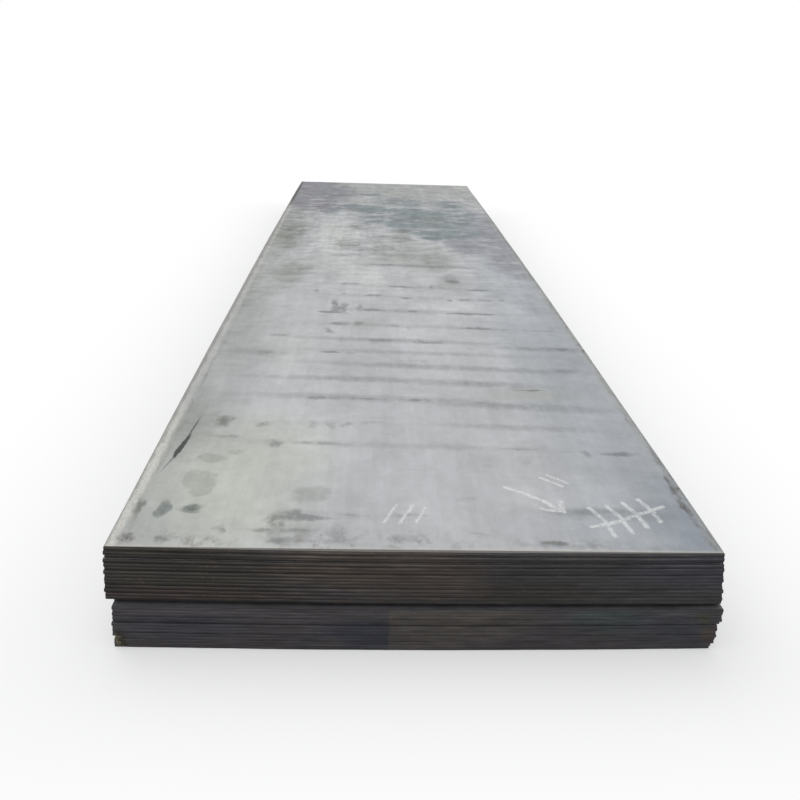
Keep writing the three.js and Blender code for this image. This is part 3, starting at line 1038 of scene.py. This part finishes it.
def hidden_scale_material(name, colour):
    """Mill scale of the faces between the plates, seen only where one stands proud."""
    material, tree, shader = new_material(name, metallic=0.2, specular=0.3)
    place = tree.place()
    cloud = tree.spread(tree.noise(place, 9.0, 5.0, 0.65), 0.3, 0.7)
    grain = tree.noise(place, 300.0, 2.0, 0.6)
    base = tree.mix(cloud, solid(colour, 0.62), solid(colour))
    tree.surface(shader, base, tree.linear(grain, 0.15, 0.52), grain, 0.3, 0.0008)
    return material


def cut_end_material(name, colour, rust, look):
    """A sheared end: a burnished band brightened by a painted highlight, a rough torn band
    below it, painted shade in the seam at each side, tints that run over several plates, and
    specks of rust. The end colour itself carries painted shade. Painted highlight and painted
    seam shade are calmer low down at the right."""
    material, tree, shader = new_material(name, metallic=0.25, specular=0.35)
    noise, spread, times, linear = tree.noise, tree.spread, tree.times, tree.linear
    plate, place = tree.plate(), tree.place()
    _, height, tone = tree.split(plate)
    x, _, up = tree.split(place)
    across = tree.math("SUBTRACT", x, FRONT_LEFT[0])
    face = tree.node("ShaderNodeCombineXYZ", (across, up, 0.0)).outputs[0]
    face = tree.moved(face, (0.06, 0.025), 14.0, 5.0, 0.66, at=place)

    # The noise adds 0.010 on average, so the middle of the step lies at TONE_STEP.
    ragged = linear(noise(place, (30.0, 30.0, 90.0), 3.0, 0.6), 0.020, across)
    right_side = spread(ragged, TONE_STEP + 0.007, TONE_STEP + 0.013)
    limits = {
        "left": tree.math("SUBTRACT", 1.0, right_side),
        "right": right_side,
        "mottled": spread(noise(place, 160.0, 3.0, 0.6), 0.40, 0.60),
    }
    # Painted shade: the end colour given is darkened to stand in for the shade on the end.
    base = solid(colour)
    for tint, spots, *limit in look["tints"]:
        mask = spread(add_spots(tree, face, spots), 0.0, 0.7)
        base = tree.paint(base, mask, tint, *(limits[word] for word in limit))
    specks = noise(place, (60.0, 60.0, 90.0), 3.0, 0.6)
    base = tree.paint(base, spread(specks, 0.60, 0.72, 0.0, 0.30), rust)

    cloud = spread(noise(place, (6.0, 6.0, 40.0), 5.0, 0.66), 0.30, 0.70, 0.80, 1.22)
    drawn = spread(noise(place, (13.0, 13.0, 190.0), 4.0, 0.62), 0.32, 0.68, 0.76, 1.26)
    shade = times(cloud, drawn, linear(tone, 0.30, 0.85))
    calm = times(spread(across, 0.30, 0.95, 0.0, 0.60), spread(up, 0.245, 0.215, 0.45, 1.0))
    lively = tree.math("SUBTRACT", 1.0, calm)
    skips = spread(noise(plate, (12.0, 1.5, 4.0), 5.0, 0.68), 0.30, 0.62, 0.45, 1.0)
    # Painted highlight: the burnished band is brightened as if its rolled-over top caught the
    # light.
    burnished = times(spread(height, 0.42, 0.60), spread(height, 0.98, 0.86), skips, lively)
    # Painted shade: darker at the top and bottom edge of each plate and fading up over its lower
    # third, as in the seams between the plates.
    seam = tree.math("ABSOLUTE", tree.math("SUBTRACT", height, 0.5))
    seam = tree.math("MAXIMUM", spread(seam, 0.38, 0.49), spread(height, 0.34, 0.06))
    seam = times(seam, linear(tone, 0.3 * look["seams"], 0.7 * look["seams"]), lively)
    outside_seam_shade = tree.math("SUBTRACT", 1.0, seam)
    shade = times(shade, linear(burnished, look["burnish_highlight"], 1.0), outside_seam_shade)
    base = tree.shaded(base, shade)

    torn = noise(place, (500.0, 500.0, 380.0), 3.0, 0.7)
    drag = noise(place, (700.0, 700.0, 25.0), 2.0, 0.5)
    relief = linear(drag, 0.4, times(torn, spread(height, 0.62, 0.42, 0.15, 1.0)))
    tree.surface(shader, base, linear(burnished, -0.20, 0.68), relief, 0.5, 0.0007)
    return material


def mill_edge_material(name, colour, rust):
    """A rolled long side: dark scale with brown patches, a few pale scuffs and pits."""
    material, tree, shader = new_material(name, metallic=0.25, specular=0.35)
    noise, spread = tree.noise, tree.spread
    place = tree.place()
    _, _, tone = tree.split(tree.plate())
    cloud = spread(noise(place, (3.0, 3.0, 12.0), 5.0, 0.62), 0.32, 0.68)
    base = tree.mix(cloud, solid(colour, 0.7), solid(colour, 1.3))
    base = tree.shaded(base, tree.linear(tone, 0.5, 0.75))
    patch = noise(place, (4.5, 4.5, 20.0), 5.0, 0.68)
    base = tree.paint(base, spread(patch, 0.50, 0.68, 0.0, 0.7), rust)
    scuff = noise(place, (14.0, 14.0, 130.0), 4.0, 0.65)
    base = tree.paint(base, spread(scuff, 0.60, 0.74, 0.0, 0.5), SCUFF_COLOUR)
    pits = noise(place, 240.0, 3.0, 0.65)
    tree.surface(shader, base, tree.linear(pits, 0.2, 0.52), pits, 0.4, 0.0008)
    return material


# ---- Operators ----


def add_bundle(context, bundle, end_and_shade_colour, top=None, first=0):
    """Makes a bundle's finishes and places its plates, the first of them at that level."""
    look, word = BUNDLE_LOOKS[bundle], bundle.capitalize()
    rust = context.scene.plate_finish.rust_colour
    hidden = hidden_scale_material(word + " plates mill scale", look["face"])
    end = cut_end_material(word + " sheared ends", end_and_shade_colour, rust, look)
    edge = mill_edge_material(word + " mill edges", look["edge"], rust)
    for level, node in enumerate(bundle_nodes(bundle), first):
        materials = (top or hidden, hidden, end, edge)
        place_plate(node, level, look["slot"], materials, context.scene.plate_shape)


class PLATES_OT_upper_bundle(bpy.types.Operator):
    """Builds the fourteen plates of the upper bundle, the marked top plate among them"""

    bl_idname = "plates.upper_bundle"
    bl_label = "Upper bundle"

    def execute(self, context):
        finish = context.scene.plate_finish
        top = top_scale_material(finish)
        add_bundle(context, "upper", finish.upper_end_with_shade, top, len(bundle_nodes("lower")))
        return {"FINISHED"}


class PLATES_OT_lower_bundle(bpy.types.Operator):
    """Builds the fourteen plates of the lower bundle"""

    bl_idname = "plates.lower_bundle"
    bl_label = "Lower bundle"

    def execute(self, context):
        add_bundle(context, "lower", context.scene.plate_finish.lower_end_with_shade)
        return {"FINISHED"}


class PLATES_OT_stage(bpy.types.Operator):
    """Adds the floor, the light and the camera"""

    bl_idname = "plates.stage"
    bl_label = "Stage"

    def execute(self, context):
        stage = context.scene.plate_stage
        self.add_floor(context, stage)
        self.add_light(context, stage)
        self.add_camera(context, stage)
        return {"FINISHED"}

    def add_floor(self, context, stage):
        """A flat square, a hair below the lowest plate. Its paint takes the stack's shadow
        and fades to the plain white of the sky with the distance from the stack."""
        corners = np.array([[-1, -1], [1, -1], [1, 1], [-1, 1]], float) * FLOOR_REACH
        corners = np.column_stack([corners, np.full(4, -FLOOR_DROP)])
        mesh = bpy.data.meshes.new("Floor")
        mesh.from_pydata(corners.tolist(), [], [(0, 1, 2, 3)])
        material, tree, shader = new_material("Floor paint", specular=0.1)
        shader.inputs["Roughness"].default_value = 0.9
        shader.inputs["Base Color"].default_value = solid(stage.floor_colour)
        outside = tree.vector("ABSOLUTE", tree.place())
        outside = tree.vector("SUBTRACT", outside, tuple(TOP_HIGH))
        outside = tree.vector("MAXIMUM", outside, (0.0, 0.0, 0.0))
        away = tree.vector("LENGTH", outside)
        fade = tree.spread(away, FADE_START, FADE_END, 0.45, 1.0)
        fade = tree.times(fade, seen_ray(tree))
        white = tree.node("ShaderNodeEmission", ((1.0, 1.0, 1.0, 1.0), 1.0))
        shown = tree.node("ShaderNodeMixShader", (fade, shader.outputs[0], white.outputs[0]))
        output = tree.tree.nodes["Material Output"]
        tree.tree.links.new(shown.outputs[0], output.inputs[0])
        mesh.materials.append(material)
        floor = bpy.data.objects.new("Floor", mesh)
        context.scene.collection.objects.link(floor)

    def add_light(self, context, stage):
        """An even sky that shows as white, and one wide, soft lamp overhead."""
        world = bpy.data.worlds.new("Even sky")
        world.use_nodes = True
        world.node_tree.nodes.clear()
        tree = Tree(world.node_tree)
        sky = tree.node("ShaderNodeBackground", ((0.97, 0.985, 1.0, 1.0), stage.sky_strength))
        white = tree.node("ShaderNodeBackground", ((1.0, 1.0, 1.0, 1.0), 1.0))
        shares = (seen_ray(tree), sky.outputs[0], white.outputs[0])
        shown = tree.node("ShaderNodeMixShader", shares)
        tree.node("ShaderNodeOutputWorld", (shown.outputs[0],))
        context.scene.world = world

        lamp = bpy.data.lights.new("Overhead lamp", "SUN")
        lamp.energy = stage.lamp_strength
        lamp.angle = LAMP_WIDTH
        lamp.color = (1.0, 0.995, 0.985)
        holder = bpy.data.objects.new("Overhead lamp", lamp)
        holder.rotation_euler = LAMP_TURN
        context.scene.collection.objects.link(holder)

    def add_camera(self, context, stage):
        """The camera looks along +Y, then rolls, tilts down and turns to the right."""
        tilt, turn, roll = stage.camera_turn
        look = Matrix.Rotation(-turn, 4, "Z") @ Matrix.Rotation(math.pi / 2 - tilt, 4, "X")
        look = look @ Matrix.Rotation(roll, 4, "Z")
        data = bpy.data.cameras.new("Camera")
        data.sensor_width = 36.0
        data.lens = stage.focal_length
        data.shift_y = -stage.rise
        data.clip_end = 200.0
        camera = bpy.data.objects.new("Camera", data)
        camera.matrix_world = Matrix.Translation(stage.camera_place) @ look
        context.scene.collection.objects.link(camera)
        context.scene.camera = camera


class PLATES_PT_panel(bpy.types.Panel):
    """Lists the steps that build the stack and the settings that they read."""

    bl_idname = "PLATES_PT_panel"
    bl_label = "Plate stack"
    bl_space_type = "VIEW_3D"
    bl_region_type = "UI"
    bl_category = "Plate stack"

    def draw(self, context):
        layout = self.layout
        for operator in OPERATORS:
            layout.operator(operator.bl_idname)
        for word in SETTINGS:
            group = getattr(context.scene, word)
            box = layout.box()
            for name in group.__annotations__:
                box.prop(group, name)


SETTINGS = {
    "plate_shape": PlateShapeSettings,
    "plate_finish": PlateFinishSettings,
    "plate_stage": PlateStageSettings,
}
OPERATORS = (PLATES_OT_upper_bundle, PLATES_OT_lower_bundle, PLATES_OT_stage)


def register():
    for name, group in SETTINGS.items():
        bpy.utils.register_class(group)
        setattr(bpy.types.Scene, name, bpy.props.PointerProperty(type=group))
    for operator in OPERATORS:
        bpy.utils.register_class(operator)
    bpy.utils.register_class(PLATES_PT_panel)


def unregister():
    bpy.utils.unregister_class(PLATES_PT_panel)
    for operator in reversed(OPERATORS):
        bpy.utils.unregister_class(operator)
    for name, group in reversed(SETTINGS.items()):
        delattr(bpy.types.Scene, name)
        bpy.utils.unregister_class(group)


def main():
    """Builds everything."""
    register()
    bpy.context.scene.view_settings.view_transform = "Standard"
    bpy.ops.plates.upper_bundle()
    bpy.ops.plates.lower_bundle()
    bpy.ops.plates.stage()


if __name__ == "__main__":
    main()
